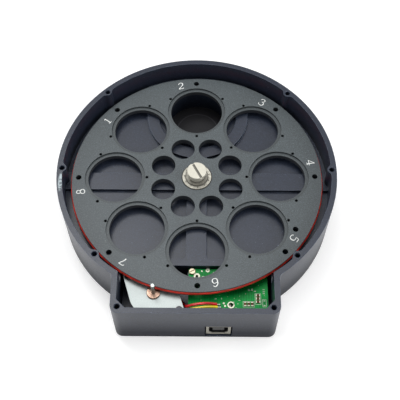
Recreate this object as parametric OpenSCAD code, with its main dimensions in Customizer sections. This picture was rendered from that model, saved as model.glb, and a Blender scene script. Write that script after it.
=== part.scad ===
// Eight-position optical filter wheel, shown with its cover off: a turned and
// milled housing, a carousel of filter seats on a ball bearing, and a small
// motor whose bare shaft drives the carousel by a rubber ring round its edge.
// Millimetres. The origin is on the carousel's axis, on the housing's base.
// +Z points out of the open side, +Y to the aperture, -Y to the electronics.

/* [Carousel] */
// Number of filter positions
positions = 8; // [5:1:8]
// Radius of the circle through the centres of the filter seats
seat_circle_r = 42.65; // [42.2:0.05:43.5]
// Radius of a filter seat, for a 31 mm filter
seat_r = 15.7; // [12:0.05:15.9]
// Depth of a filter seat
seat_depth = 1.1; // [0.6:0.1:2]
// Radius of the clear opening under a filter
clear_r = 14; // [10:0.1:14.6]
// Outer radius of the carousel
carousel_r = 65; // [64:0.1:70]
// Thickness of the carousel
carousel_t = 3.6; // [3.2:0.1:5]
// How far the carousel has turned past its position stop, in degrees
carousel_turn = 0.7; // [0:0.1:2]
// Radius of a lightening hole near the hub
light_hole_r = 6.2; // [3:0.1:6.5]
// Radius of the circle through the lightening holes
light_circle_r = 18.9; // [17:0.1:20]
// Radius of a tapped hole for a filter's retaining screw
retainer_hole_r = 0.8; // [0.5:0.05:0.85]
// Distance from a seat's edge to the middle of its retaining screws
retainer_inset = 0.92; // [0.9:0.02:1.1]
// Radius of an index hole
index_hole_r = 1.45; // [0.8:0.05:1.5]
// Distance from the carousel's edge to the middle of the index holes
index_inset = 3.4; // [3.3:0.1:4]
// Distance from the carousel's edge to the middle of the home hole
home_inset = 6.6; // [6:0.1:7]
// Angle from position five to the home hole, in degrees
home_angle = 12.9; // [12:0.1:15]

/* [Drive ring] */
// Diameter of the rubber cord
ring_d = 2; // [1.2:0.1:2.2]
// How far the ring stands out of the carousel's edge
ring_proud = 0.6; // [0.5:0.1:1]

/* [Hub] */
// Outer diameter of the ball bearing
bearing_od = 15; // [14:0.5:16]
// Bore of the ball bearing, and the screw's shoulder diameter
bearing_bore = 6; // [5:0.5:6]
// Width of the ball bearing
bearing_w = 3.5; // [3.2:0.1:4]
// Thickness of the lip that carries the bearing in the carousel
bearing_lip_t = 0.4; // [0.3:0.1:0.8]
// Diameter of a bearing ball
ball_d = 2; // [1.6:0.1:2]
// Number of bearing balls
balls = 9; // [6:1:11]
// Diameter of the washer on the bearing
washer_d = 11; // [9.5:0.1:11.5]
// Thickness of the washer
washer_t = 0.6; // [0.4:0.1:1]
// Height of the hub spring, as held by the screw
spring_h = 4; // [3.4:0.1:6]
// Wire diameter of the hub spring
spring_wire = 0.8; // [0.5:0.05:0.85]
// Mean diameter of the hub spring
spring_d = 7.6; // [7.3:0.1:8]
// Diameter of the hub screw's head
hub_head_d = 10; // [8.9:0.1:11]
// Thickness of the hub screw's head
hub_head_t = 1.5; // [1.2:0.1:3]
// Width of the screwdriver slot in the hub screw
hub_slot_w = 1.3; // [0.8:0.1:1.6]
// Direction of that slot, in degrees
hub_slot_turn = -62; // [-90:1:90]
// Diameter of the hub screw's thread
hub_thread_d = 4; // [3:0.5:4]
// Length of the hub screw's thread
hub_thread_l = 8; // [5:0.5:10]

/* [Housing] */
// Thickness of the walls
wall_t = 2.75; // [2:0.05:4]
// Gap from the drive ring to the housing's inner wall
ring_gap = 3.3; // [2.8:0.1:5]
// Thickness of the floor under the pockets
floor_t = 15.6; // [15:0.1:20]
// Height of the floor's ribs above the pockets
rib_h = 2; // [0.5:0.1:3]
// Width of the cross ribs
rib_w = 10.2; // [9:0.1:14]
// Width of the rib along the electronics bay
bay_rib_w = 3.6; // [2:0.1:8]
// Corner radius of the pockets beside the ribs
pocket_corner_r = 2; // [0.5:0.5:4]
// Gap from the ribs to the underside of the carousel
carousel_gap = 1; // [0.6:0.1:2]
// Height of the walls above the carousel
head_room = 8.3; // [7.5:0.1:15]
// Radius of the fillets where the bay's sides meet the round wall
neck_fillet_r = 3; // [1:0.5:5]

/* [Aperture] */
// Radius of the raised pad around the aperture
pad_r = 27.6; // [24:0.1:30]
// Radius of the light aperture
aperture_r = 17; // [12:0.5:18]
// Radius of the M42 thread, and of the recess at the aperture's inner end
aperture_thread_r = 21; // [19:0.1:22]
// Depth of the M42 thread
aperture_thread_l = 3.4; // [2.5:0.1:6]
// Depth of the recess at the aperture's inner end
aperture_recess = 1.5; // [0.5:0.1:2]

/* [Electronics bay] */
// Gap from the motor's plate to the bay's left-hand wall
plate_side_gap = 0.97; // [0.3:0.01:4]
// Gap from the motor's plate to the front wall
plate_front_gap = 1.12; // [0.3:0.01:4]
// Gap from the motor to the main floor's edge
motor_back_gap = 4.63; // [2:0.01:8]
// Thickness of the bay's own floor
bay_floor_t = 1.6; // [1:0.1:3]
// Outer corner radius of the bay
bay_corner_r = 4; // [2:0.5:6]
// Leg of the triangular pads in the bay's front corners
corner_pad = 4.2; // [4:0.1:6]

/* [Cover screws] */
// Radius of a tapped hole for a cover screw
cover_hole_r = 1.25; // [0.8:0.05:1.4]
// Depth of those holes
cover_hole_l = 10; // [5:0.5:20]
// Distance from the outer face to the middle of a cover screw
cover_inset = 2.5; // [2.3:0.05:2.8]
// The same at the bay's corners, where the face is flat
corner_inset = 3.35; // [3:0.05:4]
// Radius of a cover screw's boss
cover_boss_r = 2.2; // [2:0.05:2.4]
// Fillet radius beside a boss
cover_boss_fillet = 3; // [1:0.5:5]

/* [Drive] */
// Diameter of the motor's shaft
shaft_d = 2; // [1.5:0.1:3]
// Gap between the shaft and the drive ring
shaft_gap = 0.08; // [0.05:0.01:0.2]
// Where the shaft stands round the carousel, in degrees
shaft_angle = -107.95; // [-109:0.05:-107]
// How far the shaft stands above the carousel's top
shaft_rise = 4.3; // [1:0.1:6]
// Diameter of the bearing bush round the shaft
bush_d = 6.7; // [5:0.1:8]
// Height of that bush above the motor's plate
bush_h = 1; // [0.5:0.1:1.2]
// Width of the motor's plate
plate_w = 23.8; // [23:0.1:24.4]
// Length of that plate behind the shaft, where the bay leaves room
plate_back = 14.2; // [12:0.1:14.4]
// Thickness of the motor's plate
plate_t = 1; // [0.6:0.1:1.2]
// Gap from the plate to the underside of the carousel
plate_gap = 1.4; // [1.3:0.1:2.4]
// How far the plate is turned, in degrees
plate_turn = 17; // [14:1:20]
// Diameter of the motor
motor_d = 20; // [16:0.5:20]
// Length of the motor
motor_l = 14; // [8:0.5:14]
// Head diameter of a plate screw
plate_head_d = 3.5; // [3:0.1:4]
// Length of a plate screw, under its head
plate_screw_l = 5.5; // [3:0.5:8]

/* [Circuit board] */
// Thickness of the circuit board
board_t = 1.6; // [1:0.1:2]
// Height of the board's underside
board_z = 13; // [12.9:0.1:13.4]
// Width of the board
board_w = 38.9; // [38:0.1:39.5]
// Gap from the board to the bay's right-hand wall
board_side_gap = 1.75; // [1:0.05:3]
// Gap from the board's ends to the bay's walls
board_end_gap = 0.4; // [0.3:0.05:0.8]
// Distance from the board's edges to its screws
board_screw_inset = 1.7; // [1.6:0.1:2.2]
// Length of a board screw, under its head
board_screw_l = 6; // [3:0.5:8]
// Head diameter of a board screw
board_head_d = 3.3; // [2.8:0.1:3.8]
// Radius of a board screw's tapped hole and thread
board_thread_r = 0.8; // [0.6:0.05:1]
// Radius of a post under the board or the motor's plate
post_r = 2.3; // [2:0.1:2.6]

/* [USB socket] */
// Distance from the circuit board's left edge to the middle of the socket
usb_x = 14.8; // [13.6:0.1:17.6]
// Width of the socket's shell
usb_w = 12; // [11.5:0.1:12.4]
// Height of the socket's shell
usb_h = 11; // [10.5:0.05:11]
// Length of the socket's shell
usb_l = 16.4; // [14:0.1:18]
// Thickness of the shell's metal
usb_metal = 0.4; // [0.3:0.05:0.6]
// Gap round the shell in the front wall
usb_gap = 0.7; // [0.3:0.05:0.8]
// How far the shell stands back from the front wall's outer face
usb_setback = 0.8; // [0:0.1:1.5]

/* [Leads] */
// Diameter of a motor lead
lead_d = 1.3; // [0.8:0.05:1.3]

/* [Hidden] */
// Every sub-part's name
$fn = 96;

// A small overlap that lets a cut run past a face
over = 0.5;
// Clearance of two pieces that seat on each other
seat_fit = 0.02;

// Heights
rib_z = floor_t + rib_h;
carousel_z = rib_z + carousel_gap;
carousel_top = carousel_z + carousel_t;
housing_h = carousel_top + head_room;
bearing_z = carousel_z + bearing_lip_t;
bearing_top = bearing_z + bearing_w;
washer_top = bearing_top + washer_t;
hub_head_z = washer_top + spring_h;
ring_z = carousel_z + carousel_t / 2;
plate_top = carousel_z - plate_gap;
plate_z = plate_top - plate_t;
board_top = board_z + board_t;

// Carousel
ring_mid_r = carousel_r + ring_proud - ring_d / 2;
ring_out_r = carousel_r + ring_proud;
step_angle = 360 / positions;
retainer_r = seat_r + retainer_inset;
index_circle_r = carousel_r - index_inset;
home_circle_r = carousel_r - home_inset;

// Bearing
ball_r = ball_d / 2;
pitch_r = (bearing_bore + bearing_od) / 4 + 0.1;
inner_ring_r = pitch_r - 0.75 * ball_r;
outer_ring_r = pitch_r + 0.75 * ball_r;
race_r = ball_r + 0.05;
shield_t = 0.2;

// Drive
shaft_r = shaft_d / 2;
shaft_reach = ring_out_r + shaft_r + shaft_gap;
shaft_x = shaft_reach * cos(shaft_angle);
shaft_y = shaft_reach * sin(shaft_angle);
plate_half = plate_w / 2;
plate_end_gap = 0.6;
ear_w = 4.8;
ear_l = 2.4;
plate_screw_inset = 2.3;
plate_screw_side = plate_half - plate_screw_inset;
plate_head_t = 0.9;
plate_thread_r = 1;
// The plate's screws, in the plate's own directions from the shaft
plate_screws_at = [[plate_screw_side, -plate_half - ear_l + plate_screw_inset],
                   [-plate_screw_side, plate_back - plate_screw_inset],
                   [plate_screw_side, plate_back - plate_screw_inset - 3.3]];
terminal_w = 5.2;
terminal_h = 5;
motor_z = plate_z - motor_l;
motor_step_h = 0.8;
shaft_hole_l = 6;

// Housing, with its bay round the motor and its plate
cavity_r = ring_out_r + ring_gap;
housing_r = cavity_r + wall_t;
bay_half_w = -shaft_x + plate_half * cos(plate_turn)
             + plate_back * sin(plate_turn) + plate_side_gap;
bay_reach = -shaft_y + plate_half + plate_front_gap;
bay_back_y = shaft_y + motor_d / 2 + motor_back_gap;
bay_out_w = bay_half_w + wall_t;
bay_out_y = bay_reach + wall_t;
cover_circle_r = housing_r - cover_inset;
cover_angles = [0, 45, 135, 180, 225, 315];
corner_x = bay_out_w - corner_inset;
corner_y = -(bay_out_y - corner_inset);
rim_break = 0.3;
post_foot_z = bay_floor_t / 3;

// Circuit board
board_x1 = bay_half_w - board_side_gap;
board_x0 = board_x1 - board_w;
board_y0 = -bay_reach + board_end_gap;
board_y1 = bay_back_y - board_end_gap;
board_corner_cut = corner_pad + 0.2;
board_head_t = 1.2;
// From the cut corner to the front screw, and the two free holes, each with
// its place from the board's left edge and from its back or front edge
board_front_inset = 4.4;
spare_hole_r = 0.7;
spare_hole_at = [4.1, 3.9];
free_hole_r = 1.1;
free_hole_at = [20.8, 7.8];
// The board's screws
board_screws_at = [[board_x0 + board_screw_inset, board_y1 - board_screw_inset],
                   [board_x1 - board_screw_inset, board_y1 - board_screw_inset],
                   [board_x0 + board_screw_inset, board_y0 + board_screw_inset],
                   [board_x1 - board_corner_cut - board_front_inset,
                    board_y0 + board_screw_inset]];
sensor_w = 2.6;
sensor_l = 2.4;
sensor_h = 2;
// Two rows of chip resistors: the middle of each and its quarter turn
resistor_step = 1.7;
resistors_at = [for (i = [0 : 2]) each
  [[board_x1 - 11.2 + i * resistor_step, board_y0 + 8.15, 90],
   [board_x1 - 4.9, board_y0 + 9.35 + i * resistor_step, 0]]];

// USB socket
usb_mid_x = board_x0 + usb_x;
usb_top = board_z - 0.1;
usb_bottom = usb_top - usb_h;
usb_front = -(bay_out_y - usb_setback);
usb_port_w = 9.4;
usb_port_h = 7.4;
usb_port_bevel = 1.7;
tongue_w = 5.6;
tongue_h = 3.2;
usb_port_l = 9;
contact_l = 7;

// Leads, along points chosen by hand
terminal_x = shaft_x + motor_d / 2 + 0.9;
red_route = [[-9.6, -63, 6], [-8.4, -63, 6], [-7, -63.4, 6.3], [-5.9, -64.7, 7.2],
             [-5.3, -66.5, 8.8], [-5, -68, 11], [-5, -69, 13.2],
             [-4.5, -69.5, 15.3], [-3, -69.6, 16.5], [-1, -69.3, 17.1],
             [1.5, -69, 17.4], [4, -68.7, 17.4], [6.4, -68.5, 17],
             [8.4, -68.4, 16.3], [10.2, -68.3, 15.4]];
yellow_route = [[-9.6, -65, 6], [-8.5, -65, 6], [-7.2, -65.5, 6.3], [-6.2, -66.9, 7.2],
                [-5.4, -68.6, 8.8], [-5, -70, 11], [-5, -70.9, 13.2],
                [-4.6, -71.3, 15.1], [-3.1, -71.4, 16.1], [-1, -71, 16.4],
                [1.5, -70.6, 16.5], [4, -70.2, 16.4], [6.4, -69.9, 16.1],
                [8.6, -69.8, 15.7], [10.6, -69.7, 15.3]];
red_pad = [11.6, -68.3];
yellow_pad = [12, -69.7];

// A round bar or hole with its foot at z
module rod(r, z0, z1) {
  translate([0, 0, z0])
    cylinder(r = r, h = z1 - z0);
}

// A flat ring
module tube(r_in, r_out, z0, z1) {
  difference() {
    rod(r_out, z0, z1);
    rod(r_in, z0 - over, z1 + over);
  }
}

// The break round the edge of a bore of radius r, whose mouth is at z
module countersink(r, z) {
  translate([0, 0, z - rim_break])
    cylinder(r1 = r, r2 = r + rim_break + 0.05, h = rim_break + 0.05);
}

// Copies children to each point of a list
module at(points) {
  for (p = points)
    translate([p[0], p[1], 0])
      children();
}

// Moves children into the motor plate's own directions
module on_plate() {
  translate([shaft_x, shaft_y, 0])
    rotate(plate_turn)
      children();
}

// ---- Housing ----

// One concave fillet between a bay side and the round wall
module neck_fillet() {
  mid_r = housing_r + neck_fillet_r;
  mid_x = bay_out_w + neck_fillet_r;
  mid_y = -sqrt(mid_r * mid_r - mid_x * mid_x);
  touch = (housing_r - 0.2) / mid_r;
  difference() {
    polygon([[bay_out_w - 1, mid_y], [mid_x, mid_y],
             [mid_x * touch, mid_y * touch], [bay_out_w - 1, mid_y * touch]]);
    translate([mid_x, mid_y])
      circle(r = neck_fillet_r);
  }
}

// The housing's outline: a disc with a square bay at its front
module outer_outline() {
  circle(r = housing_r);
  translate([-bay_out_w, -bay_out_y + bay_corner_r])
    square([2 * bay_out_w, bay_out_y - bay_corner_r]);
  translate([-bay_out_w + bay_corner_r, -bay_out_y])
    square([2 * (bay_out_w - bay_corner_r), bay_out_y]);
  for (side = [-1, 1]) {
    translate([side * (bay_out_w - bay_corner_r), -bay_out_y + bay_corner_r])
      circle(r = bay_corner_r);
    mirror([side < 0 ? 1 : 0, 0])
      neck_fillet();
  }
}

// A cover screw's boss, blended into the round wall on both sides
module cover_boss() {
  wall_reach = cavity_r - cover_boss_fillet;
  boss_reach = cover_boss_r + cover_boss_fillet;
  mid_x = (wall_reach * wall_reach + cover_circle_r * cover_circle_r
           - boss_reach * boss_reach) / (2 * cover_circle_r);
  mid_y = sqrt(wall_reach * wall_reach - mid_x * mid_x);
  touch = (cavity_r + 0.3) / wall_reach;
  translate([cover_circle_r, 0])
    circle(r = cover_boss_r);
  for (side = [-1, 1])
    difference() {
      polygon([[cover_circle_r + 0.3, 0], [cover_circle_r - 0.3, 0],
               [mid_x, side * mid_y], [mid_x * touch, side * mid_y * touch]]);
      translate([mid_x, side * mid_y])
        circle(r = cover_boss_fillet);
    }
}

// The open inside, as seen from above
module inner_outline() {
  difference() {
    union() {
      circle(r = cavity_r);
      translate([-bay_half_w, -bay_reach])
        square([2 * bay_half_w, bay_reach]);
    }
    for (a = cover_angles)
      rotate(a)
        cover_boss();
    for (side = [-1, 1])
      polygon([[side * (bay_half_w + over), -bay_reach - over],
               [side * (bay_half_w - corner_pad - over), -bay_reach - over],
               [side * (bay_half_w + over), -bay_reach + corner_pad + over]]);
  }
}

// The raised pad around the aperture, which runs out to the wall
module pad_outline() {
  translate([0, seat_circle_r])
    circle(r = pad_r);
  translate([-pad_r, seat_circle_r])
    square([2 * pad_r, cavity_r]);
}

// What a round cutter leaves in the corner of a pocket at the origin
module cutter_corner(side_x, side_y) {
  r = pocket_corner_r;
  difference() {
    translate([side_x > 0 ? -0.1 : -r, side_y > 0 ? -0.1 : -r])
      square(r + 0.1);
    translate([side_x * r, side_y * r])
      circle(r = r);
  }
}

// The pockets milled between the ribs of the floor
module pocket_outline() {
  bay_rib_y = bay_back_y + bay_rib_w;
  difference() {
    inner_outline();
    pad_outline();
    translate([-cavity_r, -rib_w / 2])
      square([2 * cavity_r, rib_w]);
    translate([-rib_w / 2, -cavity_r])
      square([rib_w, 2 * cavity_r]);
    translate([-cavity_r - over, -bay_out_y])
      square([2 * cavity_r + 2 * over, bay_out_y + bay_rib_y]);
    for (side = [-1, 1]) {
      translate([side * rib_w / 2, rib_w / 2])
        cutter_corner(side, 1);
      translate([side * rib_w / 2, -rib_w / 2])
        cutter_corner(side, -1);
      translate([side * rib_w / 2, bay_rib_y])
        cutter_corner(side, 1);
    }
  }
}

// The deep bay in front of the main floor
module bay_outline() {
  intersection() {
    inner_outline();
    translate([-bay_half_w, -bay_reach - over])
      square([2 * bay_half_w, bay_reach + over + bay_back_y]);
  }
}

module cover_hole() {
  rod(cover_hole_r, housing_h - cover_hole_l, housing_h + over);
  countersink(cover_hole_r, housing_h);
}

module housing() {
  color("#3b4149")
    difference() {
      union() {
        difference() {
          linear_extrude(height = housing_h)
            outer_outline();
          translate([0, 0, rib_z])
            linear_extrude(height = housing_h)
              inner_outline();
          translate([0, 0, floor_t])
            linear_extrude(height = housing_h)
              pocket_outline();
          translate([0, 0, bay_floor_t])
            linear_extrude(height = housing_h)
              bay_outline();
        }
        // the post that carries the bearing's inner ring
        rod(inner_ring_r - 0.2, floor_t, bearing_z);
        // posts under the circuit board and the motor's plate
        at(board_screws_at)
          rod(post_r, post_foot_z, board_z);
        on_plate()
          at(plate_screws_at)
            rod(post_r, post_foot_z, plate_z);
      }
      // light aperture, its recess and its thread
      translate([0, seat_circle_r, 0]) {
        rod(aperture_r, -over, rib_z + over);
        rod(aperture_thread_r, -over, aperture_thread_l);
        rod(aperture_thread_r, rib_z - aperture_recess, rib_z + over);
        countersink(aperture_thread_r, rib_z);
      }
      // tapped holes
      rod(hub_thread_d / 2, bearing_z - hub_thread_l - 1, bearing_z + over);
      at(board_screws_at)
        rod(board_thread_r, board_top - board_screw_l - 1, board_z + over);
      on_plate()
        at(plate_screws_at)
          rod(plate_thread_r, plate_top - plate_screw_l - 1, plate_z + over);
      for (a = cover_angles)
        rotate(a)
          translate([cover_circle_r, 0, 0])
            cover_hole();
      for (side = [-1, 1])
        translate([side * corner_x, corner_y, 0])
          cover_hole();
      // window for the USB socket
      translate([usb_mid_x - usb_w / 2 - usb_gap, -bay_out_y - over, usb_bottom - usb_gap])
        cube([usb_w + 2 * usb_gap, wall_t + 2 * over, usb_h + 2 * usb_gap]);
    }
}

// Plug that closes the aperture's thread, with a ring turned in its face
module aperture_plug() {
  color("#26272a")
    translate([0, seat_circle_r, 0])
      difference() {
        rod(aperture_thread_r - seat_fit, 0, aperture_thread_l - seat_fit);
        tube(0.6 * aperture_thread_r, 0.6 * aperture_thread_r + 0.4,
             aperture_thread_l - 0.3, aperture_thread_l + over);
        // two holes for a pin spanner
        for (side = [-1, 1])
          translate([side * 0.7 * aperture_thread_r, 0, 0])
            rod(1, -over, 1.5);
      }
}

// ---- Hub ----

module hub_screw() {
  slot_depth = 0.55 * hub_head_t;
  color("#d9d4c8")
    difference() {
      union() {
        rod(hub_thread_d / 2 - seat_fit, bearing_z - hub_thread_l, bearing_z + 0.1);
        rod(bearing_bore / 2 - seat_fit, bearing_z + seat_fit, hub_head_z + 0.1);
        rod(hub_head_d / 2, hub_head_z, hub_head_z + hub_head_t - 0.2);
        translate([0, 0, hub_head_z + hub_head_t - 0.2])
          cylinder(r1 = hub_head_d / 2, r2 = hub_head_d / 2 - 0.2, h = 0.2);
      }
      rotate(hub_slot_turn)
        translate([-hub_head_d, -hub_slot_w / 2, hub_head_z + hub_head_t - slot_depth])
          cube([2 * hub_head_d, hub_slot_w, hub_head_t]);
    }
}

// Points of a ring of sides round a point of a route, square to its direction
function ring_points(p, along, r, sides, side_dir) =
  let (a = cross(along, side_dir), b = cross(a, along))
    [for (i = [0 : sides - 1])
      p + r * (cos(360 * i / sides) * a / norm(a) + sin(360 * i / sides) * b / norm(b))];

// The direction of a route at its point i
function along(route, i) =
  let (a = route[max(i - 1, 0)], b = route[min(i + 1, len(route) - 1)])
    (b - a) / norm(b - a);

// A solid tube swept along a route of points
module swept(route, r, sides, side_dir) {
  rings = len(route);
  points = [for (i = [0 : rings - 1])
    each ring_points(route[i], along(route, i), r, sides, side_dir)];
  walls = [for (i = [0 : rings - 2], j = [0 : sides - 1])
    [i * sides + j, i * sides + (j + 1) % sides,
     (i + 1) * sides + (j + 1) % sides, (i + 1) * sides + j]];
  first = [for (j = [sides - 1 : -1 : 0]) j];
  last = [for (j = [0 : sides - 1]) (rings - 1) * sides + j];
  polyhedron(points = points, faces = concat(walls, [first, last]));
}

// Compression spring between the screw's head and the washer
module hub_spring() {
  turns = 3.5;
  steps = 20;
  z0 = washer_top + spring_wire / 2 + seat_fit;
  z1 = hub_head_z - spring_wire / 2 - seat_fit;
  route = [for (i = [0 : turns * steps])
    let (t = i / (turns * steps), a = 360 * turns * t)
      [spring_d / 2 * cos(a), spring_d / 2 * sin(a), z0 + (z1 - z0) * t]];
  color("#b9b09c")
    swept(route, spring_wire / 2, 8, [0, 0, 1]);
}

module hub_washer() {
  color("#e0dccf")
    tube(bearing_bore / 2 + 0.1, washer_d / 2, bearing_top + seat_fit, washer_top);
}

// A bearing ring between two radii, with its ball race cut in
module bearing_ring(r_in, r_out) {
  difference() {
    tube(r_in, r_out, bearing_z, bearing_top);
    translate([0, 0, bearing_z + bearing_w / 2])
      rotate_extrude()
        translate([pitch_r, 0])
          circle(r = race_r, $fn = 48);
  }
}

module bearing_inner_ring() {
  color("#d5d3cc")
    bearing_ring(bearing_bore / 2, inner_ring_r);
}

module bearing_outer_ring() {
  color("#d5d3cc")
    bearing_ring(outer_ring_r, bearing_od / 2);
}

module bearing_shields() {
  color("#c9c8c2")
    for (z = [bearing_z + shield_t, bearing_top - 2 * shield_t])
      tube(inner_ring_r + 0.12, outer_ring_r, z, z + shield_t);
}

// Crown cage that keeps the balls apart
module bearing_cage() {
  mid_z = bearing_z + bearing_w / 2;
  color("#c8b27a")
    difference() {
      tube(pitch_r - 0.5 * ball_r, pitch_r + 0.5 * ball_r,
           mid_z - 0.4 * ball_r, bearing_top - 2 * shield_t - 0.1);
      for (i = [0 : balls - 1])
        rotate(360 * i / balls)
          translate([pitch_r, 0, mid_z])
            sphere(r = ball_r + 0.06, $fn = 48);
    }
}

module bearing_balls() {
  color("#e4e4e0")
    for (i = [0 : balls - 1])
      rotate(360 * i / balls)
        translate([pitch_r, 0, bearing_z + bearing_w / 2])
          sphere(r = ball_r, $fn = 32);
}

// ---- Carousel ----

// The three tapped holes of one seat's retaining screws, one towards the hub
module retainer_holes() {
  for (a = [60, 180, 300])
    rotate(a)
      translate([retainer_r, 0, 0])
        rod(retainer_hole_r, carousel_z - over, carousel_top + over);
}

module carousel() {
  color("#4d5453")
    rotate(carousel_turn)
      difference() {
        rod(carousel_r, carousel_z, carousel_top);
        // groove for the drive ring
        translate([0, 0, ring_z])
          rotate_extrude()
            translate([ring_mid_r, 0])
              circle(r = ring_d / 2 + seat_fit, $fn = 48);
        // seat of the bearing, above its lip
        rod(bearing_od / 2 + seat_fit, bearing_z, carousel_top + over);
        rod(outer_ring_r + 0.4, carousel_z - over, bearing_z + over);
        translate([0, 0, carousel_top - 0.35])
          cylinder(r1 = bearing_od / 2, r2 = bearing_od / 2 + 0.4, h = 0.4);
        for (i = [0 : positions - 1])
          rotate(90 - i * step_angle) {
            translate([seat_circle_r, 0, 0]) {
              rod(clear_r, carousel_z - over, carousel_top + over);
              rod(seat_r, carousel_top - seat_depth, carousel_top + over);
              retainer_holes();
            }
            translate([index_circle_r, 0, 0])
              rod(index_hole_r, carousel_z - over, carousel_top + over);
            rotate(step_angle / 2)
              translate([light_circle_r, 0, 0])
                rod(light_hole_r, carousel_z - over, carousel_top + over);
          }
        rotate(90 - 3 * step_angle + home_angle)
          translate([home_circle_r, 0, 0])
            rod(index_hole_r, carousel_z - over, carousel_top + over);
      }
}

module drive_ring() {
  color("#a83222")
    translate([0, 0, ring_z])
      rotate_extrude()
        translate([ring_mid_r, 0])
          circle(r = ring_d / 2, $fn = 48);
}

// ---- Drive ----

// The plate is square with one corner rounded off about the shaft and an ear
// for its front screw
module plate_outline() {
  difference() {
    translate([-plate_half, -plate_half])
      square([plate_w, plate_half + plate_back]);
    // the back corner that the bay's end would foul
    rotate(-plate_turn)
      translate([-plate_w, bay_back_y - plate_end_gap - shaft_y])
        square(2 * plate_w);
    difference() {
      translate([-plate_half - over, -plate_half - over])
        square([plate_half + over, plate_half + over]);
      circle(r = plate_half);
    }
  }
  translate([plate_half - ear_w, -plate_half - ear_l])
    square([ear_w, ear_l + 1]);
}

module motor_plate() {
  color("#c9d0cd")
    on_plate()
      difference() {
        translate([0, 0, plate_z])
          linear_extrude(height = plate_t)
            plate_outline();
        rod(bush_d / 2, plate_z - over, plate_top + over);
        at(plate_screws_at)
          rod(plate_thread_r + 0.15, plate_z - over, plate_top + over);
      }
}

// Motor can with its rear boss and the block that its leads come from
module drive_motor() {
  color("#a9adab")
    translate([shaft_x, shaft_y, 0])
      difference() {
        union() {
          rod(motor_d / 2, motor_z + motor_step_h, plate_z - seat_fit);
          rod(motor_d / 2 - 1, motor_z, motor_z + 2 * motor_step_h);
          translate([0, -terminal_w / 2, motor_z + motor_step_h])
            cube([terminal_x - shaft_x, terminal_w, terminal_h]);
        }
        rod(shaft_r + 0.05, plate_z - shaft_hole_l, plate_z + over);
      }
}

module shaft_bush() {
  color("#c2a28e")
    translate([shaft_x, shaft_y, 0])
      difference() {
        union() {
          rod(bush_d / 2 - seat_fit, plate_z, plate_top + bush_h - 0.2);
          translate([0, 0, plate_top + bush_h - 0.2])
            cylinder(r1 = bush_d / 2 - seat_fit, r2 = bush_d / 2 - 0.2, h = 0.2);
        }
        rod(shaft_r + 0.03, plate_z - over, plate_top + bush_h + over);
      }
}

module motor_shaft() {
  tip_z = carousel_top + shaft_rise;
  color("#c4bfb8")
    translate([shaft_x, shaft_y, 0]) {
      rod(shaft_r, plate_z - shaft_hole_l + 0.2, tip_z - 0.2);
      translate([0, 0, tip_z - 0.2])
        cylinder(r1 = shaft_r, r2 = shaft_r - 0.2, h = 0.2);
    }
}

// A small slotted pan-head screw on top of a plate or board
module small_screw(head_d, head_t, thread_r, seat_z, length, turn) {
  difference() {
    union() {
      rod(head_d / 2, seat_z + seat_fit, seat_z + head_t - 0.2);
      translate([0, 0, seat_z + head_t - 0.2])
        cylinder(r1 = head_d / 2, r2 = head_d / 2 - 0.25, h = 0.2);
      rod(thread_r - seat_fit, seat_z - length, seat_z + 0.1);
    }
    rotate(turn)
      translate([-head_d, -0.3, seat_z + 0.5 * head_t])
        cube([2 * head_d, 0.6, head_t]);
  }
}

module plate_screws() {
  color("#3a3a3c")
    on_plate()
      at(plate_screws_at)
        small_screw(plate_head_d, plate_head_t, plate_thread_r, plate_top,
                    plate_screw_l, 40);
}

// ---- Circuit board ----

module circuit_board() {
  color("#0f9a3c")
    difference() {
      translate([0, 0, board_z])
        linear_extrude(height = board_t)
          polygon([[board_x0, board_y0], [board_x1 - board_corner_cut, board_y0],
                   [board_x1, board_y0 + board_corner_cut], [board_x1, board_y1],
                   [board_x0, board_y1]]);
      at(board_screws_at)
        rod(board_thread_r + 0.15, board_z - over, board_top + over);
      // an unused hole by the left-hand screw, and one by the front
      translate([board_x0 + spare_hole_at[0], board_y1 - spare_hole_at[1], 0])
        rod(spare_hole_r, board_z - over, board_top + over);
      translate([board_x0 + free_hole_at[0], board_y0 + free_hole_at[1], 0])
        rod(free_hole_r, board_z - over, board_top + over);
    }
}

module board_screws() {
  color("#cdb98f")
    at(board_screws_at)
      small_screw(board_head_d, board_head_t, board_thread_r, board_top,
                  board_screw_l, 30);
}

module chip_resistors() {
  color("#8a6a55")
    for (r = resistors_at)
      translate([r[0], r[1], board_top])
        rotate(r[2])
          translate([-1, -0.6, 0.01])
            cube([2, 1.2, 0.5]);
}

// Reflective sensors under the index holes and the home hole
module position_sensors() {
  color("#1c1d20")
    for (r = [index_circle_r, home_circle_r])
      translate([-sensor_w / 2, -r - sensor_l / 2, board_top + 0.01])
        difference() {
          cube([sensor_w, sensor_l, sensor_h]);
          for (side = [-1, 1])
            translate([sensor_w / 2 + side * 0.6, sensor_l / 2, sensor_h - 0.4])
              cylinder(r = 0.4, h = 1);
        }
}

// A flat chip package with legs down both long sides, under the board
module chip(w, l, h, legs) {
  translate([-w / 2, -l / 2, -h])
    cube([w, l, h - 0.15]);
  for (side = [-1, 1], i = [0 : legs - 1])
    translate([side * (w / 2 + 0.35) - 0.45, (i - (legs - 1) / 2) * 1.27 - 0.2, -0.7 * h])
      cube([0.9, 0.4, 0.7 * h - 0.01]);
}

module controller_chip() {
  color("#232427")
    translate([board_x0 + 28, (board_y0 + board_y1) / 2, board_z])
      chip(7.5, 11.4, 2.3, 8);
}

module motor_driver_chip() {
  color("#232427")
    translate([board_x0 + 5.6, (board_y0 + board_y1) / 2, board_z])
      chip(3.9, 5.4, 1.6, 4);
}

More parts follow.
